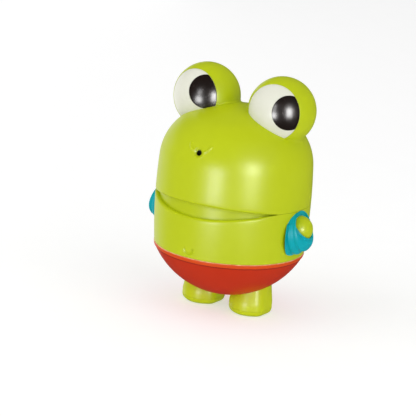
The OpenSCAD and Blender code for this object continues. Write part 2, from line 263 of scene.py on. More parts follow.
def around(profile, centre, axis, steps=96, reference=(0, 0, 1)):
    """A profile of (distance along the axis, radius) turned about any axis through centre."""
    axis = np.array(axis, float)
    ring = spokes(full_turn(steps), *crossing(axis, reference))
    d, r = profile[:, 0], profile[:, 1]
    return np.array(centre) + d[:, None, None] * axis + r[:, None, None] * ring


def direction(azimuth, elevation):
    """Unit vector that looks azimuth degrees to the frog's left of -Y and elevation degrees up."""
    a, e = radians(azimuth), radians(elevation)
    return np.array([sin(a) * cos(e), -cos(a) * cos(e), sin(e)])


def side_radius(z):
    """Radius of the long arc of the sides at height z."""
    return SIDE_C[0] + np.sqrt(SIDE_R**2 - (z - SIDE_C[1]) ** 2)


def skin_distance(p):
    """Distance of points from the dome's skin, above 0 outside, with the skin's normals.

    Each point is measured from the centre of the arc whose fan holds it, less that arc's radius.
    """
    r, z = np.hypot(p[..., 0], p[..., 1]), p[..., 2]
    angle = np.degrees(np.arctan2(z - SHOULDER_C[1], r - SHOULDER_C[0]))
    crown, side = angle > CROWN_JOIN, angle < SIDE_JOIN
    cr = np.select([crown, side], [CROWN_C[0], SIDE_C[0]], SHOULDER_C[0])
    cz = np.select([crown, side], [CROWN_C[1], SIDE_C[1]], SHOULDER_C[1])
    radius = np.select([crown, side], [CROWN_R, SIDE_R], SHOULDER_R)
    reach = np.hypot(r - cr, z - cz)
    nr, nz = (r - cr) / reach, (z - cz) / reach
    safe = np.maximum(r, 1e-9)
    normal = np.stack([nr * p[..., 0] / safe, nr * p[..., 1] / safe, nz], -1)
    return reach - radius, normal


def kept_above(p, depth):
    """Moves points that lie deeper than depth under the dome's skin out along its normal."""
    gap, normal = skin_distance(p)
    return p + np.maximum(-depth - gap, 0)[..., None] * normal


def put_mesh(name, shells, sharp=42):
    """A new object from closed shells, each a list of grids of points that meet edge to edge.

    A grid is an array (rows, columns, 3), or a pair of it and a mask of the quads to keep. Equal
    points are merged, flat quads become triangles, and a shell of negative volume is turned.
    """
    points, faces, base = [], [], 0
    for shell in shells:
        corners = []
        for patch in shell:
            grid, keep = patch if isinstance(patch, tuple) else (patch, ...)
            quads = np.stack([grid[:-1, :-1], grid[1:, :-1], grid[1:, 1:], grid[:-1, 1:]], 2)
            corners.append(quads[keep].reshape(-1, 4, 3))
        corners = np.concatenate(corners)
        a, b, c, d = corners.swapaxes(0, 1)
        if np.einsum("ij,ij->", a, np.cross(b, c) + np.cross(c, d)) < 0:
            corners = corners[:, ::-1]
        cloud = corners.reshape(-1, 3)
        _, first, merged = np.unique(
            np.round(cloud * 1e4).astype(np.int64), axis=0, return_index=True, return_inverse=True
        )
        rings = [list(dict.fromkeys(quad)) for quad in (merged.reshape(-1, 4) + base).tolist()]
        faces += [ring for ring in rings if len(ring) > 2]
        points.append(cloud[first])
        base += len(first)
    mesh = bpy.data.meshes.new(name)
    mesh.from_pydata((np.concatenate(points) * MM).tolist(), [], faces)
    mesh.validate()
    mesh.shade_smooth()
    mesh.set_sharp_from_angle(angle=radians(sharp))
    piece = bpy.data.objects.new(name, mesh)
    bpy.context.scene.collection.objects.link(piece)
    return piece


def mouth_open(azimuth):
    """How open the smile is at an azimuth, from 1 in the middle to 0 at its corners and behind."""
    x = BODY_R * np.sin(np.radians(azimuth))
    front = (np.cos(np.radians(azimuth)) > 0) & (np.abs(x) < MOUTH_W)
    return np.where(front, 1 - (x / MOUTH_W) ** 2, 0)


def lip_height(azimuth, rise):
    """Height of a lip's edge: a circle's arc through the corners, rise above or below the split."""
    x = np.abs(BODY_R * np.sin(np.radians(azimuth)))
    radius = (MOUTH_W**2 + rise**2) / (2 * abs(rise))
    bow = np.sqrt(np.maximum(radius**2 - np.minimum(x, MOUTH_W) ** 2, 0)) - radius + abs(rise)
    bow = np.where(mouth_open(azimuth) > 0, bow, 0)
    if rise > 0:
        return SPLIT_Z + np.maximum(bow, SPLIT_GAP / 2)
    return SPLIT_Z - np.maximum(bow, SPLIT_GAP / 2)


def lip_edge(azimuth, shape):
    """Radius of the round of a lip's edge: large in the open smile, small beside it."""
    open_share = smooth(mouth_open(azimuth) * 3)
    return shape.seam_round + (shape.lip_round - shape.seam_round) * open_share


def columns(fine_half, fine_step, coarse_step):
    """Azimuths of a turned skin: fine in front, coarse elsewhere, closer at the mouth's corners."""
    corner = degrees(asin(MOUTH_W / BODY_R))
    marks = [fine_half, corner - 5, corner, corner + 3, 180]
    steps = [coarse_step, 0.5, 0.6, coarse_step]
    right = [np.linspace(0, fine_half, int(round(fine_half / fine_step)) + 1)]
    for low, high, step in zip(marks, marks[1:], steps):
        right.append(np.linspace(low, high, int(round((high - low) / step)) + 1)[1:])
    right = np.concatenate(right)
    return np.concatenate([-right[:0:-1], right])


def skin_rows(azimuth, *parts):
    """Radii and heights of all rows and columns, from parts that may be the same in each column."""
    parts = [np.broadcast_arrays(*part, azimuth) for part in parts]
    return (np.concatenate([part[k] for part in parts]) for k in range(2))


def closed_ring(grid):
    """The grid with its last column copied from its first, so that the ring closes exactly."""
    grid[:, -1] = grid[:, 0]
    return grid


def nose_relief(a, b, shape):
    """Height of the skin's relief a mm across and b mm up from the nostril.

    A smooth dimple round the nostril with a faint raised ring, and two ridges along a circle's
    arc above it, each (1 - u^2)^2 across and fading to its ends.
    """
    reach = np.hypot(a, b)
    relief = -DIMPLE_H * smooth((DIMPLE_R - reach) / (DIMPLE_R - NOSTRIL_R))
    relief += 0.06 * np.exp(-(((reach - 2.0) / 0.28) ** 2))
    ring = np.hypot(a, b - CREASE_UP)
    angle = np.degrees(np.arctan2(b - CREASE_UP, np.abs(a)))
    start, end = CREASE_ANGLES
    across = np.clip(np.abs(ring - CREASE_ARC_R) / shape.crease_width, 0, 1)
    fade = smooth((angle - start) / 9) * smooth((end - angle) / 20)
    return relief + shape.crease_height * fade * (1 - across**2) ** 2


def head_shell(shape):
    """The head's shell, as one closed surface with the nostril's bore.

    Rows run from the crown down the three arcs, round the lip's edge, in under it, down and up
    the neck, and back up inside at wall depth. A window of the rows and columns round the
    nostril is left out and filled by rays that blend from the window's edge to the bore's circle.
    """
    half = degrees(WINDOW_HALF / NOSTRIL_OUT)
    azimuth = columns(half, 0.37, 2.2)
    low, high = (NOSTRIL_ANGLE + degrees(b / SHOULDER_R) for b in WINDOW_ENDS)
    crown = arc(CROWN_C, CROWN_R, 90, CROWN_JOIN, 18)
    crown[0, 0] = 0
    above = arc(SHOULDER_C, SHOULDER_R, CROWN_JOIN, high, 14)[1:]
    beside = arc(SHOULDER_C, SHOULDER_R, high, low, 40)[1:]
    below = arc(SHOULDER_C, SHOULDER_R, low, SIDE_JOIN, 6)[1:]
    top = np.concatenate([crown, above, beside, below])

    # Sides down to where the lip's edge begins to round
    lip = lip_height(azimuth, LIP_RISE)
    edge = lip_edge(azimuth, shape)
    t = np.linspace(0, 1, 11)[1:, None]
    side_z = top[-1, 1] + (lip + edge - top[-1, 1]) * t
    # The lip's edge, then the fillet under it
    skin = side_radius(lip + edge)
    a = np.radians(np.linspace(0, -90, 8)[1:, None])
    edge_r, edge_z = skin - edge + edge * np.cos(a), lip + edge + edge * np.sin(a)
    q = NECK_ROUND
    b = np.radians(np.linspace(90, 180, 6)[:, None])
    under_r, under_z = NECK_R + q + q * np.cos(b), lip - q + q * np.sin(b)
    # Down the neck, round its end, and up inside to the wall's inner face
    neck_z = lip - q + (NECK_END_Z + q - lip + q) * np.linspace(0, 1, 7)[1:, None]
    end = np.concatenate([
        arc((NECK_R - q, NECK_END_Z + q), q, 0, -90, 4)[1:],
        arc((NECK_IN_R + q, NECK_END_Z + q), q, -90, -180, 4),
        line((NECK_IN_R, NECK_END_Z + 0.6), (NECK_IN_R, NECK_ROOT_Z - 0.4), 3),
        arc((NECK_IN_R + 0.4, NECK_ROOT_Z - 0.4), 0.4, 180, 90, 4)[1:],
        line((side_radius(NECK_ROOT_Z) - WALL, NECK_ROOT_Z), (top[-1, 0] - WALL, top[-1, 1]), 3),
        arc(SHOULDER_C, SHOULDER_R - WALL, SIDE_JOIN, CROWN_JOIN, 16)[1:],
        arc(CROWN_C, CROWN_R - WALL, CROWN_JOIN, 90, 10)[1:],
    ])
    end[-1, 0] = 0
    radius, height = skin_rows(
        azimuth, np.hsplit(top, 2), (side_radius(side_z), side_z), (edge_r, edge_z),
        (under_r, under_z), (NECK_R, neck_z), np.hsplit(end, 2),
    )
    grid = closed_ring(turned(radius, height, azimuth))

    # The window round the nostril
    top_row = len(crown) + len(above) - 1
    rows = slice(top_row, top_row + len(beside) + 1)
    left = int(np.argmin(np.abs(azimuth + half)))
    right = int(np.argmin(np.abs(azimuth - half)))
    keep = np.ones((grid.shape[0] - 1, grid.shape[1] - 1), bool)
    keep[rows.start:rows.stop - 1, left:right] = False
    block = grid[rows, left:right + 1]
    ring = np.concatenate([block[0, :-1], block[:-1, -1], block[-1, :0:-1], block[::-1, 0]])
    up = np.radians(NOSTRIL_ANGLE)
    a_edge = np.arctan2(ring[:, 0], -ring[:, 1]) * NOSTRIL_OUT
    lift = np.arctan2(ring[:, 2] - SHOULDER_C[1], np.hypot(ring[:, 0], ring[:, 1]) - SHOULDER_C[0])
    b_edge = (lift - up) * SHOULDER_R
    turn = np.arctan2(b_edge, a_edge)
    w = (np.linspace(0, 1, 46) ** 0.8)[:, None]
    a = (1 - w) * a_edge + w * NOSTRIL_R * np.cos(turn)
    b = (1 - w) * b_edge + w * NOSTRIL_R * np.sin(turn)
    lift = up + b / SHOULDER_R
    relief = nose_relief(a, b, shape)
    rays = turned(
        SHOULDER_C[0] + (SHOULDER_R + relief) * np.cos(lift),
        SHOULDER_C[1] + (SHOULDER_R + relief) * np.sin(lift),
        np.degrees(a / NOSTRIL_OUT),
    )
    rays[0] = ring
    inward = -direction(0, NOSTRIL_ANGLE)
    nostril = np.array([0, -NOSTRIL_OUT, NOSTRIL_Z])
    flat = rays[-1] - np.outer((rays[-1] - nostril) @ inward, inward)
    depths = np.linspace(DIMPLE_H, BORE_L, 8)[1:]
    bore = [flat + depth * inward for depth in depths]
    bore.append(np.broadcast_to(nostril + BORE_L * inward, ring.shape))
    window = np.concatenate([rays, np.stack(bore)])
    window[:, -1] = window[:, 0]
    return [[(grid, keep), window]]


def nostril_boss():
    """The round boss behind the nostril: a closed outline with cut corners, turned as a tube."""
    bore = NOSTRIL_R + 0.02
    profile = np.array([
        [-1.0, bore], [-1.0, BOSS_R], [-BOSS_END + 0.2, BOSS_R], [-BOSS_END, BOSS_R - 0.2],
        [-BOSS_END, bore + 0.1], [-BOSS_END + 0.1, bore], [-1.0, bore],
    ])
    return [around(profile, (0, -NOSTRIL_OUT, NOSTRIL_Z), direction(0, NOSTRIL_ANGLE), 48)]


def eye_frame(side):
    """Centre and axis of an eye, side 1 for the frog's left and -1 for its right."""
    return np.array([side * EYE_AT[0], EYE_AT[1], EYE_AT[2]]), direction(
        side * EYE_TURN, EYE_LIFT
    )


def turned_eye(side, profile):
    """A profile turned about an eye's axis, with what lies deep drawn up into the dome's wall."""
    profile[0, 1] = 0
    return [kept_above(around(profile, *eye_frame(side), 144), BURIED)]


def hood(side, shape):
    """A hood: a sphere cut by the eye's plane, with a rounded rim and a recess for the white.

    The profile runs from the sphere's back to the middle of the recess.
    """
    q = shape.rim_round
    start = degrees(acos((EYE_PLANE - q) / (HOOD_R - q)))
    rim_r = (HOOD_R - q) * sin(radians(start))
    lip = shape.white_radius + 0.04
    inner, seat = 0.03, EYE_PLANE - 0.4
    profile = np.concatenate([
        arc((0, 0), HOOD_R, 180, start, 70),
        arc((EYE_PLANE - q, rim_r), q, start, 0, 6)[1:],
        arc((EYE_PLANE - inner, lip + inner), inner, 0, -90, 4),
        [[seat, lip], [seat, 0]],
    ])
    return turned_eye(side, profile)


def hood_fillet(side, shape):
    """The small round where a hood meets the dome.

    A ball rolls along both: its centre is a ball's radius above the sphere and above the dome,
    found by halving an interval for each azimuth about the line into the dome. The strip is the
    ball's arc between its two touching points, closed behind, and its radius fades at the rim.
    """
    centre, axis = eye_frame(side)
    _, outward = skin_distance(centre[None])
    into = -outward[0]
    front = axis - (axis @ into) * into
    front /= np.linalg.norm(front)
    other = np.cross(into, front)

    def roll(turn, ball):
        """Ball centres at each turn: the angle from the axis into the dome, by bisection."""
        low, high = np.full_like(turn, 0.1), np.full_like(turn, 3.0)
        spoke = spokes(turn, front, other)
        for _ in range(40):
            middle = (low + high) / 2
            ray = spokes(middle, into, spoke)
            gap, _ = skin_distance(centre + (HOOD_R + ball)[:, None] * ray)
            low, high = np.where(gap < ball, middle, low), np.where(gap < ball, high, middle)
        return ray

    turn = np.linspace(0, 2 * np.pi, 1441)
    behind = EYE_PLANE - HOOD_R * (roll(turn, np.full_like(turn, 0.1)) @ axis)
    inside = turn[behind > 0.25]
    turn = np.linspace(inside.min(), inside.max(), 181)
    behind = EYE_PLANE - HOOD_R * (roll(turn, np.full_like(turn, 0.1)) @ axis)
    ball = 0.1 + (shape.hood_fillet - 0.1) * smooth((behind - 0.2) / 3.5)
    ray = roll(turn, ball)
    middle = centre + (HOOD_R + ball)[:, None] * ray
    _, normal = skin_distance(middle)
    first, last = -ray, -normal
    spread = np.arccos(np.clip((first * last).sum(-1), -1, 1))
    t = np.linspace(0, 1, 9)[:, None, None]
    bend = spread[None, :, None]
    dirs = (np.sin((1 - t) * bend) * first + np.sin(t * bend) * last) / np.sin(bend)
    curve = middle + ball[None, :, None] * dirs
    foot = (curve[0] + curve[-1]) / 2
    back = foot + 0.55 * (foot - middle)
    strip = np.concatenate([curve, back[None], curve[:1]])
    strip = np.concatenate([
        np.broadcast_to(strip[:, :1].mean(0), strip[:, :1].shape), strip,
        np.broadcast_to(strip[:, -1:].mean(0), strip[:, -1:].shape),
    ], axis=1)
    return [strip]


def white(side, shape):
    """A white: a sphere's cap with a rounded edge and a short wall."""
    q = EYE_EDGE
    edge = shape.white_radius - q
    back = EYE_PLANE - 0.38
    rise = sqrt((WHITE_R - q) ** 2 - edge**2)
    start = degrees(atan2(edge, rise))
    profile = np.concatenate([
        arc((0, 0), WHITE_R, 0, start, 34),
        arc((rise, edge), q, start, 90, 6)[1:],
        [[back, shape.white_radius], [back, 0]],
    ])
    return turned_eye(side, profile)


def pupil(side):
    """A pupil: a domed disc about the gaze, cut short where the hood's edge crosses it.

    For each azimuth about the gaze the disc ends at its own angle, or at the angle where
    cos(x) A + sin(x) B falls to the cosine of the hood's edge, whichever comes first.
    """
    centre, axis = eye_frame(side)
    gaze = direction(*GAZES["left" if side > 0 else "right"])
    spoke = spokes(full_turn(192), *crossing(gaze))
    level, tilt = gaze @ axis, spoke @ axis
    reach = np.hypot(level, tilt)
    edge = (EYE_PLANE + 0.08) / PUPIL_TOP_R
    cut = np.arctan2(tilt, level) + np.arccos(np.clip(edge / reach, -1, 1))
    end = np.minimum(asin(PUPIL_R / PUPIL_TOP_R), cut)
    # Rows: the dome, its rounded edge, the wall down into the white, and the flat back
    round_share = EYE_EDGE / PUPIL_TOP_R
    t = np.linspace(0, 1, 22)[:, None]
    angle = t * (end - round_share)
    radius = np.full_like(angle, PUPIL_TOP_R)
    s = np.linspace(0, 1, 7)[1:, None]
    angle = np.concatenate([angle, end - round_share * (1 - s), end[None], 0 * end[None]])
    drop = EYE_EDGE * (1 - np.sqrt(np.maximum(1 - s**2, 0)))
    radius = np.concatenate([
        radius, PUPIL_TOP_R - drop * np.ones_like(end),
        np.full((2, len(end)), PUPIL_BACK_R),
    ])
    ray = np.cos(angle)[..., None] * gaze + np.sin(angle)[..., None] * spoke
    grid = centre + radius[..., None] * ray
    grid[:, -1] = grid[:, 0]
    grid[0], grid[-1] = centre + PUPIL_TOP_R * gaze, centre + PUPIL_BACK_R * gaze
    return [kept_above(grid, BURIED)]


def belly(shape):
    """The belly's shell: a closed profile turned about the upright axis, with the navel's groove.

    The outer rows climb from the rounded waist to the lower lip, whose height follows the smile,
    then round the rim, down into the socket and back down inside.
    """
    azimuth = columns(degrees(NAVEL_WINDOW / 25), 0.33, 2.2)
    lip = lip_height(azimuth, -LIP_DROP)
    edge = lip_edge(azimuth, shape)
    foot = shape.waist_round
    waist = arc((side_radius(WAIST_Z + foot) - foot, WAIST_Z + foot), foot, -90, 0, 4)
    navel_z = np.concatenate([np.linspace(22.6, 25.6, 26), np.linspace(25.6, 30, 6)[1:]])
    start_z = np.concatenate([waist[:, 1], navel_z])
    start_r = np.concatenate([waist[:, 0], side_radius(navel_z)])
    t = np.linspace(0, 1, 7)[1:, None]
    side_z = 30 + (lip - edge - 30) * t
    a = np.radians(np.linspace(0, 90, 8)[1:, None])
    skin = side_radius(lip - edge)
    edge_r, edge_z = skin - edge + edge * np.cos(a), lip - edge + edge * np.sin(a)
    inner = 0.08
    b = np.radians(np.linspace(90, 180, 5)[:, None])
    rim_r, rim_z = SOCKET_R + inner + inner * np.cos(b), lip - inner + inner * np.sin(b)
    end = np.array([
        [SOCKET_R, SOCKET_FLOOR_Z + 0.3], [SOCKET_R - 0.1, SOCKET_FLOOR_Z + 0.1],
        [SOCKET_R - 0.3, SOCKET_FLOOR_Z], [BELLY_IN_R + 0.2, SOCKET_FLOOR_Z],
        [BELLY_IN_R, SOCKET_FLOOR_Z - 0.2], [BELLY_IN_R, 28.0], [BELLY_IN_R, WAIST_Z],
        [waist[0, 0], WAIST_Z],
    ])
    radius, height = skin_rows(
        azimuth, (start_r[:, None], start_z[:, None]), (side_radius(side_z), side_z),
        (edge_r, edge_z), (rim_r, rim_z), np.hsplit(end, 2),
    )
    # The navel's groove, (1 - u^2)^1.5 deep: u is measured from a half ring with round ends
    outer = slice(len(waist), len(start_z))
    x = radius[outer] * np.sin(np.radians(azimuth)) * (np.cos(np.radians(azimuth)) > 0)
    x = np.where(np.abs(azimuth) < 20, x, 99)
    z = height[outer] - NAVEL_Z
    on_ring = np.abs(np.hypot(x, z) - NAVEL_R)
    at_end = np.hypot(np.abs(x) - NAVEL_R, z)
    u = np.clip(np.where(z < 0, on_ring, at_end) / shape.groove_width, 0, 1)
    radius[outer] -= shape.groove_depth * (1 - u**2) ** 1.5
    return [closed_ring(turned(radius, height, azimuth))]


def low_angle(radius, out):
    """Angle in degrees at which an arc about the axis has come down to that distance out."""
    return degrees(atan2(-sqrt(radius**2 - out**2), out))


def trunks(shape):
    """The trunks: waistband, bowl, squeaker seat and collar, and tuck collar, turned as a ring.

    The band bulges a little between its rounded edges, and a small hollow parts it from the bowl.
    """
    azimuth = np.linspace(-180, 180, 181)
    top, low = shape.waist_round, 0.2
    low_r, low_z = BOWL_RIM_R + 0.175, WAIST_Z - BAND_H
    swell = np.sin(np.linspace(0, np.pi, 9))[1:-1] * 0.05
    face_z = np.linspace(WAIST_Z - top, low_z + low, 9)[1:-1]
    face_r = np.interp(face_z, [low_z, WAIST_Z], [low_r, BAND_TOP_R]) + swell
    crease = low_z - 0.25 - BOWL_C
    start = degrees(atan2(crease, sqrt(BOWL_R**2 - crease**2)))
    inner, cut, small = BOWL_R - WALL, 0.3, 0.15
    profile = np.concatenate([
        arc((BAND_TOP_R - top, WAIST_Z - top), top, 90, 0, 5),
        np.stack([face_r, face_z], -1),
        arc((low_r - low, low_z + low), low, 0, -90, 5),
        arc((0, BOWL_C), BOWL_R, start, low_angle(BOWL_R, SEAT_R + small), 64),
        [[SEAT_R, 5.9], [SEAT_R, SEAT_Z], [POT_R, SEAT_Z], [POT_R, COLLAR_TOP_Z - small]],
        [[POT_R + small, COLLAR_TOP_Z], [COLLAR_R - cut, COLLAR_TOP_Z]],
        [[COLLAR_R, COLLAR_TOP_Z - cut]],
        arc((0, BOWL_C), inner, low_angle(inner, COLLAR_R), low_angle(inner, TUCK_IN_R), 24),
        [[TUCK_IN_R, TUCK_TOP_Z - cut], [TUCK_IN_R + cut, TUCK_TOP_Z]],
        [[TUCK_R - cut, TUCK_TOP_Z], [TUCK_R, TUCK_TOP_Z - cut], [TUCK_R, WAIST_Z]],
        [[BAND_TOP_R - top, WAIST_Z]],
    ])
    return [closed_ring(turned(profile[:, :1], profile[:, 1:], azimuth[None]))]


def foot(side):
    """A foot: rows of one outline, from the ground into the bowl's wall.

    The outline is drawn tight around a set of rounds: for each direction n its point is
    c + r n of the round with the largest c.n + r. The rounds shrink under the lower edge and
    draw together a little on the way up.
    """
    lower = np.radians(np.linspace(-90, 0, 9))
    z = np.concatenate([FOOT_EDGE * (1 + np.sin(lower)), np.linspace(2, FOOT_TOP_Z + 2, 14)])
    inset = np.concatenate([FOOT_EDGE * (1 - np.cos(lower)), np.zeros(14)])[:, None]
    up = np.maximum(z - 2 * FOOT_EDGE, 0) / (FOOT_TOP_Z - 2 * FOOT_EDGE)
    half_w, half_l = ((size - FOOT_TAPER * up) / 2 for size in FOOT_SIZE)
    toes = np.radians(TOE_ANGLES)
    flat = np.zeros_like(z)
    cx = [half_w - HEEL_R, HEEL_R - half_w, half_w - FOOT_SIDE_R, FOOT_SIDE_R - half_w]
    cy = [half_l - HEEL_R, half_l - HEEL_R, flat + FOOT_SIDE_Y, flat + FOOT_SIDE_Y]
    cx += [(FRONT_R - TOE_R) * sin(a) + flat for a in toes]
    cy += [FRONT_R - half_l - (FRONT_R - TOE_R) * cos(a) for a in toes]
    cx, cy = np.stack(cx, -1), np.stack(cy, -1)
    r = np.array([HEEL_R] * 2 + [FOOT_SIDE_R] * 2 + [TOE_R] * len(toes)) - inset
    t = full_turn(240)
    nx, ny = np.cos(t), np.sin(t)
    reach = cx[..., None] * nx + cy[..., None] * ny + r[..., None]
    best = reach.argmax(1)
    cx, cy, r = (np.take_along_axis(value, best, 1) for value in (cx, cy, r))
    x, y = cx + r * nx, cy + r * ny
    lean = FOOT_LEAN * up[:, None]
    grid = np.stack([
        side * (FOOT_AT[0] + x), FOOT_AT[1] + y + lean, np.broadcast_to(z[:, None], x.shape)
    ], -1)
    ends = grid[[0, -1]].mean(1, keepdims=True) * np.ones((2, len(t), 1))
    grid = np.concatenate([ends[:1], grid, ends[1:]])
    from_bowl = grid - np.array([0, 0, BOWL_C])
    reach = np.linalg.norm(from_bowl, axis=-1, keepdims=True)
    end = BOWL_R - BURIED
    inside = reach < end
    return [np.where(inside, [0, 0, BOWL_C] + from_bowl * end / np.maximum(reach, 1), grid)]


def kept_off_side(p):
    """Moves points that lie inside the belly's side out level, to a small gap above it."""
    r = np.hypot(p[..., 0], p[..., 1])
    least = side_radius(p[..., 2]) + SIDE_GAP
    share = np.where(r < least, least / np.maximum(r, 1e-6), 1)
    return p * np.stack([share, share, np.ones_like(share)], -1)


def arm(side):
    """An arm's hand: a ball whose pole looks outwards, flattened where it sits on the side."""
    ball = arc((0, 0), HAND_R, 0, 180, 72)
    ball[[0, -1], 1] = 0
    centre = (side * HAND_AT[0], 0, HAND_AT[1])
    return [kept_off_side(around(ball, centre, (side, 0, 0), 96, (0, 1, 0)))]


def arm_band(side, shape):
    """A band: rings that fan out below the hand and close up above it, with a rolled rim.

    Ring u has its own centre, radius and lift: curves of third degree in u through the three
    ribs at 0, 1 and 2 and the rim at 3. Between ribs the radius sinks by a share of
    1 - sqrt((cos(pi u)^2 + e^2) / (1 + e^2)). Each column starts at the u where the ring leaves
    the side, or at 2 where it stays inside, and lies flat on the side there.
    """
    outward = np.array([side * cos(radians(BAND_TURN)), sin(radians(BAND_TURN)), 0])
    upright = np.array([0, 0, 1.0])
    root = np.array([side * ARM_ROOT[0], 0, ARM_ROOT[1]])
    hand = np.array([side * HAND_AT[0], 0, HAND_AT[1]])
    rim_lift = radians(RIM_LIFT)
    rim_axis = cos(rim_lift) * outward + sin(rim_lift) * upright
    ahead = (root + [side * RIM_PLACE[0], 0, RIM_PLACE[1]] - hand) @ rim_axis
    rim_at = hand + ahead * rim_axis
    rim_in = sqrt(HAND_R**2 - ahead**2) + HAND_GAP
    q = shape.band_rim / 2
    marks = np.array([
        *((side * out, 0, up, r, lift) for out, up, r, lift in BAND_RINGS),
        (*(rim_at - root), rim_in + 2 * q, RIM_LIFT),
    ])
    curve = np.linalg.solve(np.vander(np.arange(4.0)), marks)
    turn = full_turn(240)
    low_share = (1 - np.cos(turn)) / 2
    swing = np.cross(upright, outward)

    def ring(u):
        """Points of the rings u, one for each column."""
        powers = np.stack([u**3, u**2, u, np.ones_like(u)], -1)
        value = powers @ curve
        soft = 0.22
        valley = 1 - np.sqrt(np.cos(np.pi * u) ** 2 + soft**2) / sqrt(1 + soft**2)
        sink = valley * (u > 0) * (u < 2)
        radius = value[..., 3] - shape.rib_depth * (0.15 + 0.85 * low_share) * sink
        lift = np.radians(value[..., 4:])
        top = -np.sin(lift) * outward + np.cos(lift) * upright
        spoke = np.cos(turn)[:, None] * top + np.sin(turn)[:, None] * swing
        return root + value[..., :3] + radius[..., None] * spoke

    low, high = np.full_like(turn, -0.2), np.full_like(turn, 3.0)
    for _ in range(30):
        middle = (low + high) / 2
        p = ring(middle)
        sunk = np.hypot(p[:, 0], p[:, 1]) < side_radius(p[:, 2]) + SIDE_GAP
        low, high = np.where(sunk, middle, low), np.where(sunk, high, middle)
    start = np.minimum(high, 2.0)
    t = np.linspace(0, 1, 91)[:, None]
    outer = ring(start + (3 - start) * t)
    # The rolled rim, the wall that hugs the hand, and the way back along the side
    spoke = spokes(turn, -sin(rim_lift) * outward + cos(rim_lift) * upright, swing)
    roll = np.radians(np.linspace(0, 180, 11))[1:, None, None]
    rim = rim_at + q * np.sin(roll) * rim_axis + (rim_in + q + q * np.cos(roll)) * spoke
    depth = np.array([0.6, 1.2, 2.0, 3.0])[:, None, None]
    hug = np.sqrt((HAND_R + HAND_GAP) ** 2 - (ahead - depth) ** 2)
    wall = rim_at - depth * rim_axis + hug * spoke
    grid = np.concatenate([outer, rim, wall, outer[:1]])
    return [closed_ring(kept_off_side(grid))]


# Materials


class NodeBench:
    """Adds nodes to a tree, sets their inputs and links their sockets."""

    def __init__(self, tree):
        self.tree = tree
        tree.nodes.clear()

    def put(self, socket, value):
        """Sets a socket's value, or links another socket to it."""
        if isinstance(value, bpy.types.NodeSocket):
            self.tree.links.new(value, socket)
        elif socket.type == "RGBA":
            socket.default_value = (*value, 1)
        else:
            socket.default_value = value

    def fill(self, node, **named):
        """Gives a node's named inputs their values or links."""
        for key, value in named.items():
            self.put(node.inputs[key.replace("_", " ")], value)

    def add(self, kind, *first, **named):
        """A node with values or links for its first inputs and, in capitals, for named ones.

        Names in small letters are the node's own settings.
        """
        node = self.tree.nodes.new(kind)
        for key, value in named.items():
            if key.islower():
                setattr(node, key, value)
        for socket, value in zip(node.inputs, first):
            self.put(socket, value)
        self.fill(node, **{key: value for key, value in named.items() if not key.islower()})
        return node

    def math(self, operation, *values):
        """A Math node's result."""
        return self.add("ShaderNodeMath", *values, operation=operation).outputs[0]

    def vector_math(self, operation, *values, **named):
        """A Vector Math node's outputs."""
        return self.add("ShaderNodeVectorMath", *values, operation=operation, **named).outputs

    def blend(self, share, first, second):
        """A colour mix's result."""
        node = self.add("ShaderNodeMix", share, data_type="RGBA")
        self.put(node.inputs[6], first)
        self.put(node.inputs[7], second)
        return node.outputs[2]

    def noise(self, vector, scale, detail=3.0, roughness=0.5):
        """A noise texture's value."""
        return self.add(
            "ShaderNodeTexNoise", Vector=vector, Scale=scale, Detail=detail, Roughness=roughness
        ).outputs[0]

    def band(self, value, low, high, out_low=0.0, out_high=1.0):
        """A value mapped smoothly from one range to another."""
        return self.add(
            "ShaderNodeMapRange", value, low, high, out_low, out_high,
            interpolation_type="SMOOTHSTEP",
        ).outputs[0]


def moulded_vinyl_group():
    """Soft moulded vinyl: slight clouds of colour, uneven gloss, faint orange peel and tooth."""
    name = "Moulded vinyl"
    if name in bpy.data.node_groups:
        return bpy.data.node_groups[name]
    tree = bpy.data.node_groups.new(name, "ShaderNodeTree")
    bench = NodeBench(tree)
    sockets = {
        "INPUT": "Place Vector, Colour Color, Gloss Float, Clouds Float, Peel Float",
        "OUTPUT": "Colour Color, Roughness Float, Height Float",
    }
    for way, labels in sockets.items():
        for label, kind in (pair.split() for pair in labels.split(", ")):
            tree.interface.new_socket(name=label, in_out=way, socket_type=f"NodeSocket{kind}")
    start = bench.add("NodeGroupInput").outputs
    place = start["Place"]
    cloud, fine = bench.noise(place, 70.0), bench.noise(place, 420.0, 4.0, 0.6)
    peel, tooth = bench.noise(place, 900.0, 2.0, 0.4), bench.noise(place, 2600.0, 2.0)
    # Colour: a little darker and lighter in clouds, with a faint fine mottle
    mottle = bench.math("SUBTRACT", bench.math("MULTIPLY_ADD", fine, 0.4, cloud), 0.7)
    level = bench.math("MULTIPLY_ADD", mottle, start["Clouds"], 1.0)
    colour = bench.vector_math("SCALE", start["Colour"], Scale=level)[0]
    # Roughness: the given gloss, with soft patches and fine grain
    patchy = bench.math("MULTIPLY_ADD", cloud, 0.12, start["Gloss"])
    rough = bench.math("SUBTRACT", bench.math("MULTIPLY_ADD", fine, 0.1, patchy), 0.11)
    # Height: orange peel about a millimetre across, and a fine tooth on it
    height = bench.math("MULTIPLY_ADD", tooth, 0.25, bench.math("MULTIPLY", peel, start["Peel"]))
    bench.add("NodeGroupOutput", colour, rough, height)
    return tree


def new_material(name):
    """A new material's bench, with its shader, its end and the object's coordinates."""
    material = bpy.data.materials.new(name)
    material.use_nodes = True
    bench = NodeBench(material.node_tree)
    bench.material = material
    bench.shader = bench.add("ShaderNodeBsdfPrincipled")
    bench.end = bench.add("ShaderNodeOutputMaterial", bench.shader.outputs[0])
    bench.place = bench.add("ShaderNodeTexCoord").outputs["Object"]
    return bench


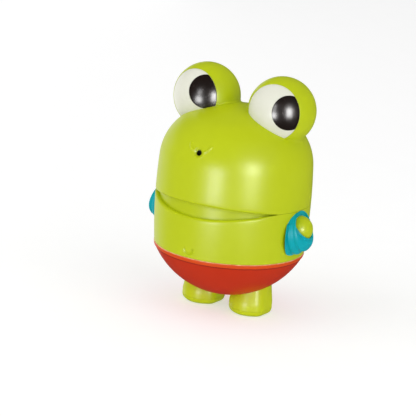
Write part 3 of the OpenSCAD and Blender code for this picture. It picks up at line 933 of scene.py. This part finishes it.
def vinyl_on(bench, colour, gloss, ior, clouds, peel=1.0, bump=0.12):
    """Places the vinyl group before a bench's shader, and gives the material."""
    vinyl = bench.add(
        "ShaderNodeGroup", bench.place, colour, gloss, clouds, peel,
        node_tree=moulded_vinyl_group(),
    ).outputs
    bumped = bench.add("ShaderNodeBump", Strength=bump, Distance=0.0001, Height=vinyl["Height"])
    bench.fill(
        bench.shader, Base_Color=vinyl["Colour"], Roughness=vinyl["Roughness"], IOR=ior,
        Normal=bumped.outputs[0],
    )
    return bench.material


def skin_material(colours):
    """Green vinyl skin, darker towards the feet's lower edges, with painted shade inside the
    nostril's bore.
    """
    bench = new_material("green vinyl skin")
    up = bench.add("ShaderNodeSeparateXYZ", bench.place).outputs["Z"]
    # Darker green towards the feet's lower edges: a quarter of the way to the deep green at the
    # ground, fading out 1.6 mm up
    height = bench.math("MULTIPLY_ADD", bench.noise(bench.place, 160.0), 0.0006, up)
    darkening = bench.band(height, 0.0002, 0.0016, 0.25, 0.0)
    base = bench.blend(darkening, colours.skin, colours.skin_deep)
    # Painted shade inside the nostril's bore: how deep a point lies along the bore, where it is
    # also close to the bore's own line
    mouth = (0, -NOSTRIL_OUT * MM, NOSTRIL_Z * MM)
    inward = tuple(-direction(0, NOSTRIL_ANGLE))
    reach = bench.vector_math("SUBTRACT", bench.place, mouth)[0]
    deep = bench.vector_math("DOT_PRODUCT", reach, inward)["Value"]
    along = bench.vector_math("SCALE", inward, Scale=deep)[0]
    off_line = bench.vector_math("DISTANCE", reach, along)["Value"]
    inside = bench.math(
        "MULTIPLY", bench.band(deep, 0.00035, 0.0011), bench.band(deep, 0.004, 0.005, 1.0, 0.0)
    )
    inside = bench.math("MULTIPLY", inside, bench.band(off_line, 0.0011, 0.0014, 1.0, 0.0))
    return vinyl_on(bench, bench.blend(inside, base, colours.bore), 0.35, 1.3, 0.07)


def trunks_material(colours):
    """Red vinyl with an orange waistband, uneven at its edge and painted lighter than the bowl for
    the light it catches, with painted glints at its top and painted shade in the crease below it.
    """
    bench = new_material("red vinyl trunks")
    up = bench.add("ShaderNodeSeparateXYZ", bench.place).outputs["Z"]
    wobble = bench.math("MULTIPLY_ADD", bench.noise(bench.place, 300.0), 0.0003, -0.00015)
    height = bench.math("ADD", up, wobble)
    # The waistband's orange is its own colour, painted lighter than the downward bowl for the light
    # its upright face catches
    top, low = WAIST_Z * MM, (WAIST_Z - BAND_H) * MM
    band = bench.band(height, low - 0.00015, low)
    base = bench.blend(band, colours.trunks, colours.waistband)
    # Painted glints: pale flecks along the band's top edge, where light catches its round
    painted_glint = bench.band(height, top - 0.00028, top - 0.0001)
    painted_glint = bench.math("MULTIPLY", painted_glint, bench.noise(bench.place, 700.0))
    base = bench.blend(painted_glint, base, (0.93, 0.8, 0.45))
    # Painted shade: a dark line in the crease between the band and the bowl
    seam = bench.math(
        "MULTIPLY", bench.band(height, low - 0.0006, low - 0.0003),
        bench.band(height, low - 0.0001, low, 0.6, 0.0),
    )
    return vinyl_on(bench, bench.blend(seam, base, (0.2, 0.012, 0.006)), 0.42, 1.2, 0.08)


def pupil_material(colours):
    """Dark glossy pupils with pin specks of painted reflection in the lacquer."""
    bench = new_material("pupil lacquer")
    # Painted reflection: faint warm specks like the speckled gleam of the lacquer
    reflection_speck = bench.band(bench.noise(bench.place, 1500.0, 1.0), 0.7, 0.78, 0.0, 0.25)
    base = bench.blend(reflection_speck, colours.pupil, (0.25, 0.2, 0.18))
    return vinyl_on(bench, base, 0.25, 1.42, 0.1, 0.8, 0.08)


def metal_material(name, colour, roughness):
    """Thin rolled metal with fine lines along Y and a faint stain."""
    bench = new_material(name)
    stretch = bench.add("ShaderNodeMapping", bench.place, Scale=(9000.0, 300.0, 9000.0))
    lines = bench.noise(stretch.outputs[0], 1.0, 2.0)
    stain = bench.math("MULTIPLY", bench.noise(bench.place, 900.0), 0.3)
    bump = bench.add("ShaderNodeBump", Strength=0.15, Distance=0.00003, Height=lines)
    bench.fill(
        bench.shader, Base_Color=bench.blend(stain, colour, (0.35, 0.3, 0.22)), Metallic=1.0,
        Roughness=bench.math("MULTIPLY_ADD", lines, 0.2, roughness), Normal=bump.outputs[0],
    )
    return bench.material


def floor_material(colours):
    """Pale studio floor that glows a little, with the faintest unevenness, clear from below."""
    bench = new_material("studio floor")
    vinyl_on(bench, colours.floor, 0.8, 1.5, 0.02, 0.3, 0.02)
    bench.fill(bench.shader, Emission_Color=(1, 1, 1), Emission_Strength=0.47)
    below = bench.add("ShaderNodeNewGeometry").outputs["Backfacing"]
    clear = bench.add("ShaderNodeBsdfTransparent").outputs[0]
    either = bench.add("ShaderNodeMixShader", below, bench.shader.outputs[0], clear)
    bench.put(bench.end.inputs[0], either.outputs[0])
    return bench.material


# Finishes in one plain colour: the material's name, its gloss, IOR, clouds, peel and bump
PLAIN = {
    "bands": ("teal rubber band", 0.36, 1.2, 0.08, 1.0, 0.12),
    "white": ("eye white plastic", 0.3, 1.3, 0.03, 0.6, 0.06),
    "squeaker": ("squeaker plastic", 0.5, 1.5, 0.05, 1.0, 0.1),
}
MATERIALS = {
    "skin": skin_material, "trunks": trunks_material, "pupil": pupil_material,
    "floor": floor_material,
}
_made = {}


def material_for(context, key):
    """The material of that key, made on its first use."""
    colours = context.scene.frog_colours
    if key not in _made and key in PLAIN:
        name, *finish = PLAIN[key]
        _made[key] = vinyl_on(new_material(name), getattr(colours, key), *finish)
    elif key not in _made:
        _made[key] = MATERIALS[key](colours)
    return _made[key]


# Settings


def shape_length(label, about, default):
    """A length in millimetres that a user may change."""
    return bpy.props.FloatProperty(
        name=label, description=about, default=default, min=0.02, max=12, unit="NONE"
    )


def plain_colour(label, about, default):
    """A linear colour that a user may change."""
    return bpy.props.FloatVectorProperty(
        name=label, description=about, default=default, size=3, min=0, max=1, subtype="COLOR"
    )


def amount(label, about, default, unit="POWER"):
    """A power or a strength that a user may change."""
    return bpy.props.FloatProperty(
        name=label, description=about, default=default, min=0, unit=unit
    )


def linear(*rgb):
    """A screen colour of 0 to 255 as linear light."""
    return tuple(
        c / 255 / 12.92 if c <= 10 else ((c / 255 + 0.055) / 1.055) ** 2.4 for c in rgb
    )


class FrogShape(bpy.types.PropertyGroup):
    """Small rounds and reliefs, in millimetres."""

    lip_round: shape_length("Lip round", "Round of the lips' edges", 0.8)
    seam_round: shape_length("Seam round", "Round of the split's edges beside the mouth", 0.06)
    waist_round: shape_length("Waist round", "Round of the edges at the waist seam", 0.22)
    rim_round: shape_length("Rim round", "Round of a hood's rim", 0.06)
    hood_fillet: shape_length("Hood fillet", "Round where a hood meets the crown", 0.9)
    white_radius: shape_length("White radius", "Radius of a white at its edge", 9.0)
    crease_height: shape_length("Crease height", "Height of the ridges at the nose", 0.3)
    crease_width: shape_length("Crease width", "Half width of those ridges", 0.65)
    groove_depth: shape_length("Navel depth", "Depth of the navel's groove", 0.4)
    groove_width: shape_length("Navel width", "Half width of the navel's groove", 0.45)
    rib_depth: shape_length("Rib depth", "Depth of the valleys between an arm band's ribs", 0.75)
    band_rim: shape_length("Band rim", "Thickness of the rim around a hand", 0.8)


class FrogColours(bpy.types.PropertyGroup):
    """Base colours of the finishes."""

    skin: plain_colour("Skin", "Green of the shells, arms and feet", linear(186, 200, 11))
    # The deep skin is the darker green towards the feet's lower edges
    skin_deep: plain_colour("Deep skin", "Green where dirt gathers", linear(116, 122, 10))
    # The bore's colour is painted shade inside the nostril
    bore: plain_colour("Bore", "Dark green inside the nostril", linear(26, 26, 6))
    trunks: plain_colour("Trunks", "Red of the bowl", linear(192, 46, 12))
    # The waistband's orange is painted lighter for the light its upright face catches
    waistband: plain_colour("Waistband", "Orange of the waistband", linear(214, 74, 17))
    bands: plain_colour("Arm bands", "Teal of the arm bands", linear(0, 164, 176))
    white: plain_colour("Whites", "Off-white of the eyes", linear(227, 227, 212))
    pupil: plain_colour("Pupils", "Dark brown of the pupils", linear(26, 14, 9))
    squeaker: plain_colour("Squeaker", "White of the squeaker", linear(232, 232, 226))
    brass: plain_colour("Reed plate", "Brass of the reed's plate", linear(205, 168, 92))
    steel: plain_colour("Reed", "Steel of the reed", linear(190, 190, 192))
    floor: plain_colour("Floor", "Pale studio floor", linear(205, 205, 205))


class FrogStage(bpy.types.PropertyGroup):
    """Light of the stage."""

    box_power: amount("Soft box power", "Power of a soft box of share 1", 3.6)
    fill_power: amount("Fill power", "Power of a broad fill light of share 1", 6.7)
    sky: amount("Sky", "Strength of the pale light from all round", 0.66, "NONE")


# Operators


def add_piece(context, name, shells, body, slot, finish, *nodes, sharp=42):
    """A piece with its finish, the body that it rides on and the nodes that it stands for."""
    piece = put_mesh(name, shells, sharp)
    piece.data.materials.append(material_for(context, finish))
    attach(piece, body)
    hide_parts(*nodes)


class FROG_OT_head(bpy.types.Operator):
    """Makes the head with its hoods, nostril and neck."""

    bl_idname = "frog.head"
    bl_label = "Head"

    def execute(self, context):
        shape = context.scene.frog_shape
        shells = head_shell(shape) + [nostril_boss()]
        for side, _ in SIDES:
            shells += [hood(side, shape), hood_fillet(side, shape)]
        add_piece(context, "frog_head", shells, "head", "skin", "skin", "head_shell", sharp=38)
        return {"FINISHED"}


class FROG_OT_eyes(bpy.types.Operator):
    """Makes the whites and the pupils of both eyes."""

    bl_idname = "frog.eyes"
    bl_label = "Eyes"

    def execute(self, context):
        shape = context.scene.frog_shape
        for side, word in SIDES:
            add_piece(
                context, f"{word}_eye_white", [white(side, shape)], "head", "eye_white", "white",
                f"{word}_eye",
            )
            add_piece(
                context, f"{word}_eye_pupil", [pupil(side)], "head", "pupil", "pupil",
                f"{word}_pupil",
            )
        return {"FINISHED"}


class FROG_OT_belly(bpy.types.Operator):
    """Makes the belly with its lower lip and navel."""

    bl_idname = "frog.belly"
    bl_label = "Belly"

    def execute(self, context):
        shells = [belly(context.scene.frog_shape)]
        add_piece(
            context, "frog_belly", shells, "lower body", "skin", "skin", "belly_shell", sharp=38
        )
        return {"FINISHED"}


class FROG_OT_trunks(bpy.types.Operator):
    """Makes the swim trunks with their waistband."""

    bl_idname = "frog.trunks"
    bl_label = "Trunks"

    def execute(self, context):
        shells = [trunks(context.scene.frog_shape)]
        add_piece(
            context, "frog_trunks", shells, "lower body", "trunks", "trunks", "swim_trunks",
            sharp=50,
        )
        return {"FINISHED"}


class FROG_OT_feet(bpy.types.Operator):
    """Makes both feet."""

    bl_idname = "frog.feet"
    bl_label = "Feet"

    def execute(self, context):
        for side, word in SIDES:
            add_piece(
                context, f"{word}_webless_foot", [foot(side)], "lower body", "skin", "skin",
                f"{word}_foot", sharp=60,
            )
        return {"FINISHED"}


class FROG_OT_arms(bpy.types.Operator):
    """Makes both arms and their ribbed bands."""

    bl_idname = "frog.arms"
    bl_label = "Arms"

    def execute(self, context):
        shape = context.scene.frog_shape
        for side, word in SIDES:
            add_piece(
                context, f"{word}_arm_hand", [arm(side)], "lower body", "skin", "skin",
                f"{word}_arm",
            )
            add_piece(
                context, f"{word}_ribbed_band", [arm_band(side, shape)], "lower body",
                "arm_bands", "bands", f"{word}_arm_band", sharp=50,
            )
        return {"FINISHED"}


class FROG_OT_squeaker(bpy.types.Operator):
    """Gives the squeaker's solids their finishes."""

    bl_idname = "frog.squeaker"
    bl_label = "Squeaker"

    def execute(self, context):
        colours = context.scene.frog_colours
        plastic = material_for(context, "squeaker")
        finishes = {
            "squeaker_pot": plastic,
            "squeaker_cap": plastic,
            "squeaker_reed_plate": metal_material("brass plate", colours.brass, 0.25),
            "squeaker_reed": metal_material("steel reed", colours.steel, 0.2),
        }
        for node, material in finishes.items():
            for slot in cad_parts[node].material_slots:
                slot.material = material
        return {"FINISHED"}


def area_light(name, place, size, power, group):
    """A rectangular light that faces the toy's middle and lights one group of pieces, or all.

    Its place is an azimuth, an elevation and a distance in metres.
    """
    azimuth, elevation, distance = place
    light = bpy.data.lights.new(name, "AREA")
    light.shape, light.size, light.size_y, light.energy = "RECTANGLE", size[0], size[1], power
    lamp = bpy.data.objects.new(name, light)
    bpy.context.scene.collection.objects.link(lamp)
    back = Vector(direction(azimuth, elevation))
    lamp.location = Vector((0, 0, LIGHTS_AIM_Z)) + distance * back
    lamp.rotation_euler = back.to_track_quat("Z", "Y").to_euler()
    if group:
        lamp.light_linking.receiver_collection = bpy.data.collections[group]
    return lamp


def sky_light(strength):
    """A plain sky all round, white to the camera and mirrored only faintly by glossy pieces."""
    world = bpy.data.worlds.new("studio sky")
    world.use_nodes = True
    bench = NodeBench(world.node_tree)
    ray = bench.add("ShaderNodeLightPath").outputs
    faint = bench.math("MULTIPLY", ray["Is Glossy Ray"], SKY_DIMMED * strength)
    seen = bench.math("MULTIPLY", ray["Is Camera Ray"], SKY_SEEN)
    level = bench.math("MAXIMUM", bench.math("SUBTRACT", strength, faint), seen)
    back = bench.add("ShaderNodeBackground", (1, 1, 1), level)
    bench.add("ShaderNodeOutputWorld", back.outputs[0])
    bpy.context.scene.world = world


def aim_camera():
    """Sets the camera at the photograph's angle: the waist's middle falls on its own pixel."""
    a, roll = radians(VIEW_AZIMUTH), radians(VIEW_ROLL)
    right = Vector((cos(a), sin(a), 0))
    back = Vector(direction(VIEW_AZIMUTH, VIEW_ELEVATION))
    up = back.cross(right)
    rolled = (cos(roll) * right + sin(roll) * up, -sin(roll) * right + cos(roll) * up, back)
    turn = Matrix(rolled).transposed()
    middle = FRAME_PX / 2
    offset = Vector((WAIST_PX[0] - middle, middle - WAIST_PX[1], -FOCAL_PX)).normalized()
    aim = offset.rotation_difference(Vector((0, 0, -1))).to_matrix()
    data = bpy.data.cameras.new("camera")
    data.lens = FOCAL_PX * SENSOR_MM / FRAME_PX
    data.sensor_width = SENSOR_MM
    data.clip_start, data.clip_end = 0.01, 20
    camera = bpy.data.objects.new("camera", data)
    bpy.context.scene.collection.objects.link(camera)
    camera.matrix_world = Matrix.Translation(
        Vector((0, 0, WAIST_Z * MM)) + VIEW_DISTANCE * back
    ) @ (turn @ aim).to_4x4()
    bpy.context.scene.camera = camera


class FROG_OT_stage(bpy.types.Operator):
    """Sets the floor, the soft lights and the camera."""

    bl_idname = "frog.stage"
    bl_label = "Stage"

    def execute(self, context):
        settings = context.scene.frog_stage
        mesh = bpy.data.meshes.new("studio_floor")
        corners = [(-1, -1), (1, -1), (1, 1), (-1, 1)]
        corners = [(FLOOR_HALF * x, FLOOR_HALF * y, 0) for x, y in corners]
        mesh.from_pydata(corners, [], [(0, 1, 2, 3)])
        floor = bpy.data.objects.new("studio_floor", mesh)
        context.scene.collection.objects.link(floor)
        mesh.materials.append(material_for(context, "floor"))
        # The soft boxes reach below the floor's level, so it casts no shadow and isn't mirrored
        floor.visible_shadow = False
        floor.visible_glossy = False
        for name, pieces in LIT_GROUPS.items():
            group = bpy.data.collections.new(name)
            for piece in pieces:
                group.objects.link(bpy.data.objects[piece])
        for name, (azimuth, elevation, width, height, share, group) in SOFT_BOXES.items():
            place, power = (azimuth, elevation, BOX_DISTANCE), share * settings.box_power
            area_light(name, place, (width, height), power, group).visible_diffuse = False
        for name, (azimuth, elevation, share, group) in FILLS.items():
            place, power = (azimuth, elevation, FILL_DISTANCE), share * settings.fill_power
            area_light(name, place, FILL_SIZE, power, group).visible_glossy = False
        sky_light(settings.sky)
        context.scene.view_settings.view_transform = "Standard"
        aim_camera()
        return {"FINISHED"}


class FROG_PT_panel(bpy.types.Panel):
    """Lists the frog's pieces, its sizes and its colours."""

    bl_idname = "FROG_PT_panel"
    bl_label = "Bath Toy Frog"
    bl_space_type = "VIEW_3D"
    bl_region_type = "UI"
    bl_category = "Bath Toy"

    def draw(self, context):
        column = self.layout.column()
        for operator in OPERATORS:
            column.operator(operator.bl_idname)
        for settings in (
            context.scene.frog_shape, context.scene.frog_colours, context.scene.frog_stage
        ):
            box = self.layout.box()
            for key in settings.bl_rna.properties.keys():
                if key not in ("rna_type", "name"):
                    box.prop(settings, key)


OPERATORS = (
    FROG_OT_head, FROG_OT_eyes, FROG_OT_belly, FROG_OT_trunks, FROG_OT_feet, FROG_OT_arms,
    FROG_OT_squeaker, FROG_OT_stage,
)
GROUPS = {"frog_shape": FrogShape, "frog_colours": FrogColours, "frog_stage": FrogStage}


def register():
    """Registers the settings, the operators and the panel."""
    for name, group in GROUPS.items():
        bpy.utils.register_class(group)
        setattr(bpy.types.Scene, name, bpy.props.PointerProperty(type=group))
    for kind in (*OPERATORS, FROG_PT_panel):
        bpy.utils.register_class(kind)


def unregister():
    """Removes them again."""
    for kind in (FROG_PT_panel, *reversed(OPERATORS)):
        bpy.utils.unregister_class(kind)
    for name, group in GROUPS.items():
        delattr(bpy.types.Scene, name)
        bpy.utils.unregister_class(group)


def main():
    register()
    for operator in OPERATORS:
        group, name = operator.bl_idname.split(".")
        getattr(getattr(bpy.ops, group), name)()


if __name__ == "__main__":
    main()
